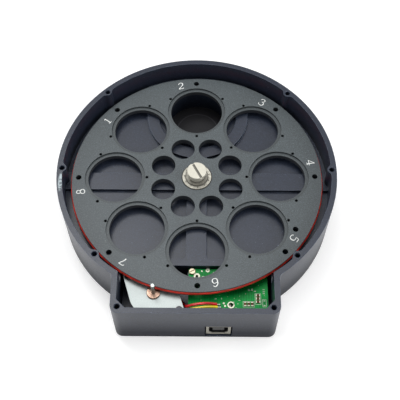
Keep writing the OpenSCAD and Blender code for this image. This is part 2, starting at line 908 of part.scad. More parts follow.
// Tinned lead ends and the solder that holds them on their pads
module solder_joints() {
  color("#d4d6d8")
    for (j = [[red_route, red_pad], [yellow_route, yellow_pad]])
      let (tip = j[0][len(j[0]) - 1], pad = j[1]) {
        translate([pad[0], pad[1], board_top + 0.01])
          cylinder(r1 = 0.65, r2 = 0.3, h = 0.7);
        translate([tip[0] + 0.1, tip[1] - 0.2, board_top + 0.2])
          cube([pad[0] - tip[0], 0.4, 0.4]);
      }
}

// ---- USB socket ----

// The socket's opening, square with its two lower corners bevelled
module usb_port_outline() {
  polygon([[-usb_port_w / 2, usb_port_h / 2], [usb_port_w / 2, usb_port_h / 2],
           [usb_port_w / 2, -usb_port_h / 2 + usb_port_bevel],
           [usb_port_w / 2 - usb_port_bevel, -usb_port_h / 2],
           [-usb_port_w / 2 + usb_port_bevel, -usb_port_h / 2],
           [-usb_port_w / 2, -usb_port_h / 2 + usb_port_bevel]]);
}

// Moves children so that they start at the socket's front face and run back
module in_socket() {
  translate([usb_mid_x, usb_front, (usb_top + usb_bottom) / 2])
    rotate([90, 0, 0])
      mirror([0, 0, 1])
        children();
}

module usb_shell() {
  color("#b8b6ae")
    in_socket()
      difference() {
        linear_extrude(height = usb_l)
          square([usb_w, usb_h], center = true);
        translate([0, 0, usb_metal])
          linear_extrude(height = usb_l)
            square([usb_w - 2 * usb_metal, usb_h - 2 * usb_metal], center = true);
        translate([0, 0, -over])
          linear_extrude(height = usb_l)
            usb_port_outline();
      }
}

// Moulded insert: a block round the opening with the contact tongue in it
module usb_insert() {
  color("#1d1d20")
    in_socket() {
      difference() {
        translate([0, 0, usb_metal + seat_fit])
          linear_extrude(height = usb_l - usb_metal - seat_fit)
            square([usb_w - 2 * usb_metal - 2 * seat_fit,
                    usb_h - 2 * usb_metal - 2 * seat_fit], center = true);
        translate([0, 0, -over])
          linear_extrude(height = usb_port_l + over)
            usb_port_outline();
      }
      translate([-tongue_w / 2, -tongue_h / 2, 0.6])
        cube([tongue_w, tongue_h, usb_port_l]);
    }
}

module usb_contacts() {
  color("#d8b45a")
    in_socket()
      for (side = [-1, 1], row = [-1, 1])
        translate([side * 1.25 - 0.5, row * (tongue_h / 2 + 0.12) - 0.1, 1.5])
          cube([1, 0.2, contact_l]);
}

// ---- Leads ----

module red_lead() {
  color("#c8242c")
    swept(red_route, lead_d / 2, 8, [0, 0.3, 1]);
}

module yellow_lead() {
  color("#e3cf1c")
    swept(yellow_route, lead_d / 2, 8, [0, 0.3, 1]);
}

housing();
aperture_plug();
hub_screw();
hub_spring();
hub_washer();
bearing_inner_ring();
bearing_outer_ring();
bearing_shields();
bearing_cage();
bearing_balls();
carousel();
drive_ring();
motor_plate();
drive_motor();
shaft_bush();
motor_shaft();
plate_screws();
circuit_board();
board_screws();
chip_resistors();
position_sensors();
controller_chip();
motor_driver_chip();
usb_shell();
usb_insert();
usb_contacts();
red_lead();
yellow_lead();
solder_joints();
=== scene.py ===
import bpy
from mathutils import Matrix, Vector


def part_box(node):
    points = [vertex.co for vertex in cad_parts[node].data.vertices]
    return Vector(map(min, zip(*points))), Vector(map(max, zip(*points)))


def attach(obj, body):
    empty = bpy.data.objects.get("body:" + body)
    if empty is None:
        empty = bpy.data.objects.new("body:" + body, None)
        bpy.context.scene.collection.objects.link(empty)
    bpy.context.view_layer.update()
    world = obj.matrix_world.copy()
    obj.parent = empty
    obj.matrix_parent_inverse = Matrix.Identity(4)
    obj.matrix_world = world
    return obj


bl_info = {
    "name": "Filter wheel dressing",
    "version": (1, 0, 0),
    "blender": (4, 5, 0),
    "location": "View3D > Sidebar > Filter wheel",
    "description": "Finishes, printed numbers and board detail for a motorised filter wheel",
    "category": "Object",
}

from math import cos, pi, radians, sin, tau

import bmesh
import bpy
from bpy.props import FloatProperty, FloatVectorProperty, PointerProperty
from mathutils import Matrix, Vector

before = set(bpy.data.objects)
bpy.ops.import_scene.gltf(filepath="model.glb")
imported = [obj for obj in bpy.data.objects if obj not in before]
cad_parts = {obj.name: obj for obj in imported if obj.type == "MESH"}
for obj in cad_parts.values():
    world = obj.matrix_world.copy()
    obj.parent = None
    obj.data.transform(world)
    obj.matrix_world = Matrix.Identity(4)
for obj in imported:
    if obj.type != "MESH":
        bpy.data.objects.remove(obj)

MM = 0.001

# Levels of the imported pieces
RIM_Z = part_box("housing")[1].z
CAROUSEL_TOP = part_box("carousel")[1].z
SEAT_DEPTH = 1.1 * MM
LEDGE_Z = CAROUSEL_TOP - SEAT_DEPTH
BOARD_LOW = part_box("circuit_board")[0]
BOARD_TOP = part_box("circuit_board")[1].z

# Seats round the carousel, in degrees: the number of the one at the back, their pitch,
# and how far the carousel stands past its position stop
BACK_SEAT = 2
SEAT_PITCH = 45
SEAT_TURN = 0.7
# Thickness of a number's strokes over their width
NUMBER_RELIEF = 0.10

# Painted shadow line round the bearing's outer ring, where it sits in the carousel: the radius of
# its middle
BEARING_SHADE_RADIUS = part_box("bearing_outer_ring")[1].x + 0.15 * MM
# Ring on the face of the aperture plug: the radius of its middle
PLUG_RING_RADIUS = 11.5 * MM

# Dark discs painted as the shade in the dimples round the face of the bearing's outer ring
DIMPLE_COUNT = 11
DIMPLE_CIRCLE = 6.45 * MM
DIMPLE_RADIUS = 0.30 * MM
DIMPLE_HEIGHT = 0.02 * MM
# Place of the first one, in steps from +X
DIMPLE_START = 0.4

# Bare streak on the rim beside the left-hand boss: its middle and its half lengths
STREAK_PLACE = Vector((-69.0 * MM, -8.2 * MM, RIM_Z))
STREAK_REACH = Vector((1.6 * MM, 6.8 * MM, 1.2 * MM))

# Colours of dust and of worn edges, which also stand for painted edge highlights, of the bare
# streak, of the painted shade in the bores and of the dark discs painted for the dimples' shade
HOUSING_WEAR_DUST_AND_HIGHLIGHT = (0.62, 0.68, 0.78)
CAROUSEL_WEAR_DUST_AND_HIGHLIGHT = (0.52, 0.55, 0.54)
STREAK_BARE = (0.74, 0.80, 0.82)
BORE_SHADE = (0.085, 0.075, 0.095)
DIMPLE_SHADE = (0.10, 0.09, 0.08)
# Turned hub parts: node, finish, brightness, roughness, share of metal; the washer's lower
# brightness is painted shade under the screw head
HUB_METALS = (("hub_washer", "washer_nickel", 0.8, 0.5, 0.6),
              ("bearing_inner_ring", "bearing_inner_steel", 0.8, 0.5, 0.6),
              ("bearing_outer_ring", "bearing_outer_steel", 0.93, 0.5, 0.6),
              ("bearing_shields", "shield_steel", 0.62, 0.55, 0.5))
# Rings of a turned face: radians of their wave to the metre
TURNED_WAVE = 5200.0

# Lamps: name of their power in the settings, place, side length
LAMPS = (("key", (-0.42, 0.56, 1.40), 0.45), ("overhead", (0.05, 0.25, 1.50), 0.90),
         ("front", (0.10, -1.30, 0.75), 0.90), ("right", (1.25, -0.15, 0.80), 0.80),
         ("left", (-1.25, -0.15, 0.80), 0.80))
LAMP_TARGET = Vector((0, -0.01, 0))
# Floor: half its width, its drop, its glow at the wheel, and where that rises to white
FLOOR_REACH = 3.0
FLOOR_DROP = 0.02 * MM
FLOOR_GLOW = 0.35
GLOW_START, GLOW_END = 0.25, 0.9

# Sides of a disc and of a flat ring
DISC_SIDES = 12
WASHER_SIDES = 32

# Board detail in millimetres from the board's left-hand front corner
# Tinned rings: x, y, inner radius, outer radius
PADS = ((4.1, 22.95, 0.75, 1.55), (9.44, 26.1, 0.35, 1.0), (20.8, 7.8, 1.15, 1.75),
        (6.6, 25.7, 0.05, 0.4), (17.3, 8.6, 0.1, 0.5), (17.9, 7.2, 0.1, 0.5))
# Tinned dots: x, y, radius
VIAS = ((8.0, 15.2, 0.16), (11.6, 13.4, 0.16), (15.4, 12.6, 0.14), (19.2, 12.0, 0.16),
        (22.4, 11.2, 0.16), (25.0, 12.4, 0.14), (24.2, 8.4, 0.16), (23.2, 6.4, 0.16),
        (28.0, 13.6, 0.16), (30.2, 15.4, 0.16), (34.4, 18.2, 0.16), (36.6, 20.4, 0.16),
        (11.6, 24.2, 0.2), (12.3, 24.9, 0.2), (37.2, 12.8, 0.16), (6.2, 10.2, 0.16))
# Chip resistors, in a row and in a column of three: x, y, turn in degrees
RESISTOR_PITCH = 1.7
RESISTORS = tuple((27.7 + RESISTOR_PITCH * i, 8.15, 90) for i in range(3)) \
    + tuple((34.0, 9.35 + RESISTOR_PITCH * i, 0) for i in range(3))
# Tinned end of a resistor: distance from its middle, height of its middle, size, broken edge
END_REACH, END_RISE = 0.82, 0.28
END_SIZE = (0.40, 1.24, 0.54)
END_EDGE = 0.05
# Printed frames: width of their lines, then left, front, right, back
FRAME_LINE = 0.2
FRAMES = ((26.7, 6.75, 32.15, 9.6), (32.6, 8.1, 35.4, 13.75), (36.2, 6.9, 38.0, 10.7))
# Printed marks: x, y, width, length
MARKS = ((29.6, 15.7, 0.8, 1.1), (31.2, 15.9, 0.8, 1.1), (32.6, 15.0, 0.9, 0.5),
         (36.9, 15.9, 1.0, 0.45), (36.9, 14.8, 1.0, 0.45), (36.9, 13.8, 1.0, 0.45),
         (37.1, 7.6, 0.9, 0.5), (37.1, 10.0, 0.9, 0.5), (13.4, 10.9, 0.9, 0.4),
         (16.2, 11.0, 0.35, 0.7), (7.4, 22.7, 1.6, 0.5), (2.2, 8.0, 1.2, 0.4),
         (22.2, 8.6, 0.3, 2.2), (24.9, 10.2, 0.9, 0.3))

# Strokes of the position numbers in a cell one unit high: (x, y, half width)
DIGITS = {
    1: [[(0.30, 0.80, 0.03), (0.42, 0.86, 0.045), (0.50, 0.96, 0.06)],
        [(0.50, 0.96, 0.065), (0.50, 0.50, 0.065), (0.50, 0.04, 0.065)],
        [(0.28, 0.03, 0.035), (0.50, 0.035, 0.04), (0.72, 0.03, 0.035)]],
    2: [[(0.22, 0.74, 0.06), (0.26, 0.92, 0.04), (0.50, 1.02, 0.04), (0.76, 0.92, 0.07),
         (0.76, 0.66, 0.07), (0.52, 0.38, 0.045), (0.20, 0.07, 0.035)],
        [(0.18, 0.05, 0.04), (0.50, 0.06, 0.06), (0.76, 0.05, 0.055), (0.82, 0.22, 0.03)]],
    3: [[(0.22, 0.78, 0.055), (0.28, 0.95, 0.04), (0.52, 1.01, 0.04), (0.76, 0.88, 0.065),
         (0.70, 0.60, 0.05), (0.44, 0.54, 0.035)],
        [(0.44, 0.54, 0.035), (0.74, 0.52, 0.055), (0.84, 0.26, 0.07), (0.70, 0.00, 0.05),
         (0.42, -0.02, 0.035), (0.22, 0.06, 0.04), (0.20, 0.20, 0.055)]],
    4: [[(0.62, 0.98, 0.05), (0.38, 0.64, 0.035), (0.12, 0.30, 0.035)],
        [(0.12, 0.30, 0.04), (0.50, 0.30, 0.045), (0.88, 0.30, 0.04)],
        [(0.62, 0.98, 0.06), (0.62, 0.50, 0.065), (0.62, 0.04, 0.065)],
        [(0.44, 0.03, 0.03), (0.62, 0.03, 0.04), (0.80, 0.03, 0.03)]],
    5: [[(0.30, 0.95, 0.05), (0.52, 0.95, 0.055), (0.78, 0.96, 0.05)],
        [(0.30, 0.95, 0.035), (0.27, 0.75, 0.035), (0.25, 0.56, 0.035)],
        [(0.25, 0.56, 0.035), (0.46, 0.68, 0.04), (0.76, 0.58, 0.06), (0.84, 0.28, 0.07),
         (0.70, 0.00, 0.05), (0.42, -0.02, 0.04), (0.22, 0.04, 0.05), (0.20, 0.18, 0.055)]],
    6: [[(0.76, 0.86, 0.05), (0.66, 0.99, 0.04), (0.46, 1.00, 0.045), (0.24, 0.76, 0.065),
         (0.20, 0.36, 0.07), (0.28, 0.06, 0.06), (0.50, -0.02, 0.04), (0.76, 0.06, 0.06),
         (0.82, 0.32, 0.07), (0.70, 0.58, 0.05), (0.46, 0.60, 0.035), (0.24, 0.42, 0.035)]],
    7: [[(0.16, 0.76, 0.035), (0.18, 0.93, 0.05), (0.46, 0.94, 0.055), (0.82, 0.95, 0.045)],
        [(0.82, 0.95, 0.04), (0.58, 0.58, 0.055), (0.46, 0.30, 0.065), (0.42, 0.03, 0.065)]],
    8: [[(0.50 + 0.235 * cos(a * tau / 12), 0.76 + 0.235 * sin(a * tau / 12), 0.052)
         for a in range(13)],
        [(0.50 + 0.30 * cos(a * tau / 12), 0.27 + 0.28 * sin(a * tau / 12), 0.055)
         for a in range(13)]],
}


# ---- Settings ----

def colour_setting(name, description, default):
    """A colour property written as it looks on screen."""
    return FloatVectorProperty(name=name, description=description, default=default,
                               subtype="COLOR_GAMMA", size=3, min=0.0, max=1.0)


def length_setting(name, description, default):
    """A length property in metres."""
    return FloatProperty(name=name, description=description, default=default,
                         subtype="DISTANCE", unit="LENGTH", min=0.0, precision=5)


class WheelSizes(bpy.types.PropertyGroup):
    """Sizes of the numbers, the broken edges and the board's print"""

    number_height: length_setting(
        "Number height", "Height of a printed position number", 4.3 * MM)
    number_weight: FloatProperty(
        name="Number weight", description="Widening of the numbers' strokes", default=1.0)
    number_circle: length_setting(
        "Number circle", "Radius of the circle through the middles of the numbers", 60.6 * MM)
    number_lead: FloatProperty(
        name="Number lead", description="Angle from a seat's index hole to its number",
        default=radians(8.25), subtype="ANGLE", unit="ROTATION")
    edge_radius: length_setting(
        "Edge radius", "Radius of the broken edges on milled pieces", 0.22 * MM)
    print_thickness: length_setting(
        "Print thickness", "Thickness of the board's print and tinned pads", 0.03 * MM)


class WheelColours(bpy.types.PropertyGroup):
    """Colours of the pieces"""

    housing: colour_setting("Housing", "Blue-grey anodising", (0.133, 0.157, 0.208))
    carousel: colour_setting("Carousel", "Greenish grey anodising", (0.25, 0.278, 0.29))
    paint: colour_setting("Numbers", "Paint in the position numbers", (0.93, 0.94, 0.93))
    rubber: colour_setting("Drive ring", "Red silicone rubber", (0.85, 0.23, 0.18))
    nickel: colour_setting("Nickel", "Plated hub parts", (0.72, 0.71, 0.665))
    zinc: colour_setting("Zinc", "Plated motor plate", (0.63, 0.655, 0.65))
    bronze: colour_setting("Bronze", "Sintered shaft bush", (0.58, 0.48, 0.42))
    resist: colour_setting("Solder resist", "Green of the circuit board", (0.04, 0.62, 0.27))
    brass: colour_setting("Yellow zinc", "Board screws", (0.74, 0.70, 0.61))
    red: colour_setting("Red lead", "Insulation of one motor lead", (0.86, 0.12, 0.15))
    yellow: colour_setting("Yellow lead", "Insulation of the other lead", (0.93, 0.84, 0.10))
    black: colour_setting("Black", "Moulded plastic", (0.135, 0.135, 0.145))
    print: colour_setting("Print", "Frames and marks on the circuit board", (0.78, 0.84, 0.76))
    tin: colour_setting("Tin", "Tinned pads on the circuit board", (0.76, 0.75, 0.69))


class WheelView(bpy.types.PropertyGroup):
    """Camera, lamps and backdrop"""

    camera: FloatVectorProperty(
        name="Camera", description="Where the camera stands", subtype="XYZ", unit="LENGTH",
        default=(2.453 * MM, -212.46 * MM, 364.0 * MM))
    target: FloatVectorProperty(
        name="Target", description="What the camera looks at", subtype="XYZ", unit="LENGTH",
        default=(1.745 * MM, -13.886 * MM, 22.2 * MM))
    roll: FloatProperty(
        name="Roll", description="Turn about the line of sight", default=0.004,
        subtype="ANGLE", unit="ROTATION")
    lens: FloatProperty(
        name="Lens", description="Focal length on a 36 mm sensor", default=69.41)
    sky: FloatProperty(
        name="Sky", description="Strength of the light from all round", default=0.075)
    key: FloatProperty(
        name="Key", description="Power of the lamp behind and to the left", default=6.6)
    overhead: FloatProperty(
        name="Overhead", description="Power of the big lamp overhead", default=9.2)
    front: FloatProperty(
        name="Front", description="Power of the low lamp in front", default=6.2)
    right: FloatProperty(
        name="Right", description="Power of the low lamp to the right", default=10.0)
    left: FloatProperty(
        name="Left", description="Power of the low lamp to the left", default=5.6)


def settings():
    """The dressing's settings on the current scene."""
    return bpy.context.scene.filter_wheel


# ---- Colours and finishes ----

def linear(colour):
    """A screen colour as the linear, opaque values that shaders take."""
    return [c / 12.92 if c <= 0.04045 else ((c + 0.055) / 1.055) ** 2.4
            for c in colour] + [1.0]


def shade(colour, factor):
    """A screen colour made lighter or darker."""
    return [min(1.0, c * factor) for c in colour]


class Finish:
    """A procedural material on object coordinates, built up a layer at a time."""

    def __init__(self, name, colour, roughness=0.5, metallic=0.0, specular=0.5, coat=0.0):
        self.material = bpy.data.materials.new(name)
        self.material.use_nodes = True
        self.nodes = self.material.node_tree.nodes
        self.links = self.material.node_tree.links
        self.shader = self.nodes["Principled BSDF"]
        self.shader.inputs["Base Color"].default_value = linear(colour)
        self.shader.inputs["Roughness"].default_value = roughness
        self.shader.inputs["Metallic"].default_value = metallic
        self.shader.inputs["Specular IOR Level"].default_value = specular
        self.shader.inputs["Coat Weight"].default_value = coat
        self.place = self.nodes.new("ShaderNodeTexCoord").outputs["Object"]
        self.normal = None
        self.tone = None

    def link(self, source, target):
        """Joins an output to an input, or sets the input to a plain value."""
        if isinstance(source, bpy.types.NodeSocket):
            self.links.new(source, target)
        else:
            target.default_value = source

    def moved(self, location=(0, 0, 0), turn=0.0, scale=(1, 1, 1)):
        """Object coordinates moved, turned about Z and scaled."""
        node = self.nodes.new("ShaderNodeMapping")
        node.inputs["Location"].default_value = location
        node.inputs["Rotation"].default_value = (0, 0, turn)
        node.inputs["Scale"].default_value = scale
        self.links.new(self.place, node.inputs["Vector"])
        return node.outputs["Vector"]

    def noise(self, scale, detail=3.0, roughness=0.5):
        """Soft noise with the given number of lumps to the metre."""
        node = self.nodes.new("ShaderNodeTexNoise")
        node.inputs["Scale"].default_value = scale
        node.inputs["Detail"].default_value = detail
        node.inputs["Roughness"].default_value = roughness
        self.links.new(self.place, node.inputs["Vector"])
        return node.outputs["Fac"]

    def math(self, operation, first, second=0.0):
        """One sum on sockets or numbers."""
        node = self.nodes.new("ShaderNodeMath")
        node.operation = operation
        self.link(first, node.inputs[0])
        self.link(second, node.inputs[1])
        return node.outputs["Value"]

    def length(self, vector):
        """Length of a vector."""
        node = self.nodes.new("ShaderNodeVectorMath")
        node.operation = "LENGTH"
        self.links.new(vector, node.inputs[0])
        return node.outputs["Value"]

    def near(self, value, middle, inner, outer, strength):
        """A mask that falls from a strength to 0 as a value leaves a middle."""
        off = self.math("ABSOLUTE", self.math("SUBTRACT", value, middle))
        return self.span(off, inner, outer, strength, 0.0)

    def axes(self, vector=None):
        """The three parts of a vector."""
        node = self.nodes.new("ShaderNodeSeparateXYZ")
        self.links.new(vector or self.place, node.inputs["Vector"])
        return node.outputs

    def upright(self):
        """A mask that is 1 on upright faces and 0 on level ones."""
        facing = self.nodes.new("ShaderNodeNewGeometry").outputs["True Normal"]
        return self.span(self.math("ABSOLUTE", self.axes(facing)[2]), 0.2, 0.6, 1.0, 0.0)

    def radius(self, vector=None):
        """Distance from the Z axis of the coordinates."""
        x, y, _ = self.axes(vector)
        squares = self.math("ADD", self.math("MULTIPLY", x, x), self.math("MULTIPLY", y, y))
        return self.math("SQRT", squares)

    def span(self, value, low, high, out_low=0.0, out_high=1.0):
        """Maps a value from one range to another, clamped and smooth."""
        node = self.nodes.new("ShaderNodeMapRange")
        node.interpolation_type = "SMOOTHSTEP"
        self.links.new(value, node.inputs["Value"])
        node.inputs["From Min"].default_value = low
        node.inputs["From Max"].default_value = high
        node.inputs["To Min"].default_value = out_low
        node.inputs["To Max"].default_value = out_high
        return node.outputs["Result"]

    def mix(self, factor, first, second):
        """A colour between two screen colours or colour sockets."""
        node = self.nodes.new("ShaderNodeMix")
        node.data_type = "RGBA"
        self.link(factor, node.inputs["Factor"])
        for value, socket in ((first, node.inputs["A"]), (second, node.inputs["B"])):
            joined = isinstance(value, bpy.types.NodeSocket)
            self.link(value if joined else linear(value), socket)
        return node.outputs["Result"]

    def colour(self, tone):
        """Takes the base colour from a socket."""
        self.tone = tone
        self.links.new(tone, self.shader.inputs["Base Color"])

    def tint(self, mask, colour):
        """Lets the base colour go over to another one where a mask is 1."""
        self.colour(self.mix(mask, self.tone, colour))

    def rough(self, factor, low, high):
        """Takes the roughness from a factor, between two values."""
        self.links.new(self.span(factor, 0.3, 0.7, low, high), self.shader.inputs["Roughness"])

    def edges(self, radius):
        """Rounds the shading of edges, and returns a mask that is 1 on them."""
        bevel = self.nodes.new("ShaderNodeBevel")
        bevel.samples = 6
        bevel.inputs["Radius"].default_value = radius
        flat = self.nodes.new("ShaderNodeNewGeometry").outputs["Normal"]
        dot = self.nodes.new("ShaderNodeVectorMath")
        dot.operation = "DOT_PRODUCT"
        self.links.new(bevel.outputs["Normal"], dot.inputs[0])
        self.links.new(flat, dot.inputs[1])
        self.normal = bevel.outputs["Normal"]
        self.links.new(self.normal, self.shader.inputs["Normal"])
        return self.span(dot.outputs["Value"], 0.985, 0.80)

    def bump(self, height, strength, distance):
        """Adds relief from a height socket, over any relief already there."""
        node = self.nodes.new("ShaderNodeBump")
        node.inputs["Strength"].default_value = strength
        node.inputs["Distance"].default_value = distance
        self.links.new(height, node.inputs["Height"])
        if self.normal:
            self.links.new(self.normal, node.inputs["Normal"])
        self.normal = node.outputs["Normal"]
        self.links.new(self.normal, self.shader.inputs["Normal"])


def dress(node, finish):
    """Gives a CAD node a finish in place of its plain one."""
    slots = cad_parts[node].data.materials
    slots.clear()
    slots.append(finish.material)


def milled_anodised(name, colour, worn, edge_radius, roughness, specular):
    """Bead-blasted, dyed aluminium: fine grain, slow mottling, dust, and worn edges that also
    serve as painted edge highlights.
    """
    finish = Finish(name, colour, roughness=roughness, specular=specular)
    grain = finish.noise(5200, detail=2.0, roughness=0.7)
    blasted = finish.noise(1900, detail=2.0, roughness=0.6)
    patches = finish.noise(45, detail=4.0, roughness=0.55)
    dust = finish.noise(1150, detail=1.0)
    wear = finish.noise(260, detail=5.0)
    finish.colour(finish.mix(finish.span(grain, 0.3, 0.7),
                             shade(colour, 0.88), shade(colour, 1.10)))
    finish.tint(finish.span(blasted, 0.52, 0.70, 0.0, 0.55), shade(colour, 1.55))
    finish.tint(finish.span(blasted, 0.30, 0.48, 0.55, 0.0), shade(colour, 0.52))
    finish.tint(finish.span(patches, 0.35, 0.75, 0.0, 0.2), shade(colour, 1.25))
    finish.tint(finish.span(dust, 0.765, 0.80, 0.0, 0.4), worn)
    edge_wear_and_highlight = finish.edges(edge_radius)
    # Worn edges: part real wear, part painted highlight along the broken edges
    finish.tint(finish.math("MULTIPLY", edge_wear_and_highlight, finish.span(wear, 0.35, 0.65, 0.2, 0.7)), worn)
    finish.rough(grain, roughness - 0.05, roughness + 0.08)
    finish.bump(grain, 0.12, 0.05 * MM)
    return finish


def turned_metal(name, colour, roughness, centre=(0, 0, 0), metallic=1.0):
    """Metal off a lathe: fine rings about a centre and faint tarnish."""
    finish = Finish(name, colour, roughness=roughness, metallic=metallic, specular=0.3)
    around = finish.moved(location=[-c for c in centre])
    rings = finish.math("SINE", finish.math("MULTIPLY", finish.radius(around), TURNED_WAVE))
    tarnish = finish.noise(900, detail=4.0)
    finish.colour(finish.mix(finish.span(tarnish, 0.4, 0.75), colour, shade(colour, 0.82)))
    finish.rough(tarnish, roughness - 0.06, roughness + 0.12)
    finish.bump(rings, 0.10, 0.02 * MM)
    return finish


def plain_metal(name, colour, roughness, metallic=1.0):
    """Plated or drawn metal with a fine random grain."""
    finish = Finish(name, colour, roughness=roughness, metallic=metallic, specular=0.3)
    speckle = finish.noise(2600, detail=3.0, roughness=0.6)
    cloud = finish.noise(160, detail=3.0)
    tone = finish.mix(finish.span(speckle, 0.35, 0.7), shade(colour, 0.93), shade(colour, 1.03))
    finish.colour(finish.mix(finish.span(cloud, 0.45, 0.8, 0.0, 0.3), tone, shade(colour, 0.8)))
    finish.rough(speckle, roughness - 0.05, roughness + 0.1)
    finish.bump(speckle, 0.08, 0.03 * MM)
    return finish


def moulded(name, colour, roughness, grain=3800.0, coat=0.0, specular=0.4):
    """Moulded plastic or rubber with a fine spark-eroded texture."""
    finish = Finish(name, colour, roughness=roughness, coat=coat, specular=specular)
    texture = finish.noise(grain, detail=2.0)
    cloud = finish.noise(220, detail=3.0)
    tone = finish.mix(finish.span(cloud, 0.35, 0.7), shade(colour, 0.9), shade(colour, 1.12))
    finish.colour(tone)
    finish.rough(texture, roughness - 0.06, roughness + 0.08)
    finish.bump(texture, 0.10, 0.03 * MM)
    return finish


# ---- Making pieces ----

def add_piece(name, shape, body, finish):
    """Turns a bmesh into a piece that rides on a body and takes the given finish."""
    mesh = bpy.data.meshes.new(name)
    shape.to_mesh(mesh)
    shape.free()
    mesh.materials.append(finish.material)
    piece = bpy.data.objects.new(name, mesh)
    bpy.context.scene.collection.objects.link(piece)
    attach(piece, body)


def add_disc(shape, centre, radius, height):
    """Adds a low round disc that stands on its centre."""
    made = bmesh.ops.create_cone(shape, cap_ends=True, segments=DISC_SIDES,
                                 radius1=radius, radius2=radius, depth=height)
    middle = Vector(centre) + Vector((0, 0, height / 2))
    bmesh.ops.translate(shape, verts=made["verts"], vec=middle)


def add_block(shape, centre, size, turn=0.0, edge=0.0):
    """Adds a block centred on a point, with broken edges where an edge is given."""
    made = bmesh.ops.create_cube(shape, size=1.0)
    stretch = Matrix.Rotation(turn, 4, "Z") @ Matrix.Diagonal((*size, 1))
    bmesh.ops.transform(shape, matrix=Matrix.Translation(centre) @ stretch, verts=made["verts"])
    if edge:
        edges = {e for v in made["verts"] for e in v.link_edges}
        bmesh.ops.bevel(shape, geom=list(edges), offset=edge, segments=2, profile=0.5,
                        affect="EDGES", material=-1)


def add_washer(shape, centre, inner, outer, height):
    """Adds a flat ring by spinning its section once round."""
    start = bmesh.ops.create_grid(shape, x_segments=1, y_segments=1, size=0.5)["verts"]
    stretch = Matrix.Diagonal((outer - inner, height, 1, 1))
    stand = Matrix.Rotation(pi / 2, 4, "X")
    middle = Vector(centre) + Vector(((inner + outer) / 2, 0, height / 2))
    bmesh.ops.transform(shape, matrix=Matrix.Translation(middle) @ stand @ stretch, verts=start)
    faces = list({f for v in start for f in v.link_faces})
    bmesh.ops.spin(shape, geom=faces + start, cent=centre, axis=(0, 0, 1), angle=tau,
                   steps=WASHER_SIDES, use_merge=True, use_duplicate=False)


# ---- Operators ----

class FILTERWHEEL_OT_stage(bpy.types.Operator):
    """Sets the camera, the lamps, the sky and the floor"""

    bl_idname = "filter_wheel.stage"
    bl_label = "Stage"

    def execute(self, context):
        view = settings().view
        add_camera(view)
        light_sky(view.sky)
        for name, place, size in LAMPS:
            add_lamp(name + "_lamp", Vector(place), size, getattr(view, name))
        add_floor()
        context.scene.view_settings.view_transform = "Standard"
        return {"FINISHED"}


def add_camera(view):
    """Adds the camera, aimed and rolled."""
    data = bpy.data.cameras.new("camera")
    data.lens = view.lens
    data.sensor_width = 36.0
    data.clip_start = 0.01
    camera = bpy.data.objects.new("camera", data)
    place = Vector(view.camera)
    aim = (Vector(view.target) - place).to_track_quat("-Z", "Y").to_matrix().to_4x4()
    camera.matrix_world = Matrix.Translation(place) @ aim @ Matrix.Rotation(view.roll, 4, "Z")
    bpy.context.scene.collection.objects.link(camera)
    bpy.context.scene.camera = camera


def seen_directly(nodes, links):
    """A factor that is 1 where the eye, a reflection or a clear piece sees the surface."""
    path = nodes.new("ShaderNodeLightPath")
    total = path.outputs["Is Camera Ray"]
    for ray in ("Is Glossy Ray", "Is Transmission Ray"):
        either = nodes.new("ShaderNodeMath")
        either.operation = "MAXIMUM"
        links.new(total, either.inputs[0])
        links.new(path.outputs[ray], either.inputs[1])
        total = either.outputs["Value"]
    return total


def light_sky(strength):
    """A soft white sky that also is the white background."""
    world = bpy.data.worlds.new("sky")
    bpy.context.scene.world = world
    world.use_nodes = True
    nodes = world.node_tree.nodes
    links = world.node_tree.links
    background = nodes["Background"]
    background.inputs["Color"].default_value = (1, 1, 1, 1)
    level = nodes.new("ShaderNodeMapRange")
    level.inputs["To Min"].default_value = strength
    level.inputs["To Max"].default_value = 1.0
    links.new(seen_directly(nodes, links), level.inputs["Value"])
    links.new(level.outputs["Result"], background.inputs["Strength"])


def add_lamp(name, place, size, power):
    """A square soft lamp aimed at the middle of the wheel."""
    data = bpy.data.lights.new(name, "AREA")
    data.size = size
    data.energy = power
    lamp = bpy.data.objects.new(name, data)
    aim = (LAMP_TARGET - place).to_track_quat("-Z", "Y").to_matrix().to_4x4()
    lamp.matrix_world = Matrix.Translation(place) @ aim
    bpy.context.scene.collection.objects.link(lamp)


def add_floor():
    """A white floor that keeps the object's shadow."""
    shape = bmesh.new()
    bmesh.ops.create_grid(shape, x_segments=1, y_segments=1, size=FLOOR_REACH)
    bmesh.ops.translate(shape, verts=shape.verts, vec=(0, 0, -FLOOR_DROP))
    mesh = bpy.data.meshes.new("floor")
    shape.to_mesh(mesh)
    shape.free()
    floor = bpy.data.objects.new("floor", mesh)
    bpy.context.scene.collection.objects.link(floor)
    finish = Finish("floor_white", (0.93, 0.93, 0.93), roughness=0.9, specular=0.1)
    finish.shader.inputs["Emission Color"].default_value = (1, 1, 1, 1)
    level = finish.span(finish.radius(), GLOW_START, GLOW_END, FLOOR_GLOW, 1.0)
    glow = finish.math("MULTIPLY", seen_directly(finish.nodes, finish.links), level)
    finish.links.new(glow, finish.shader.inputs["Emission Strength"])
    mesh.materials.append(finish.material)


class FILTERWHEEL_OT_housing(bpy.types.Operator):
    """Finishes the milled housing and the plug in its aperture"""

    bl_idname = "filter_wheel.housing"
    bl_label = "Housing"

    def execute(self, context):
        colours = settings().colours
        dress("housing", housing_finish(colours.housing))
        dress("aperture_plug", plug_finish(colours.black))
        return {"FINISHED"}


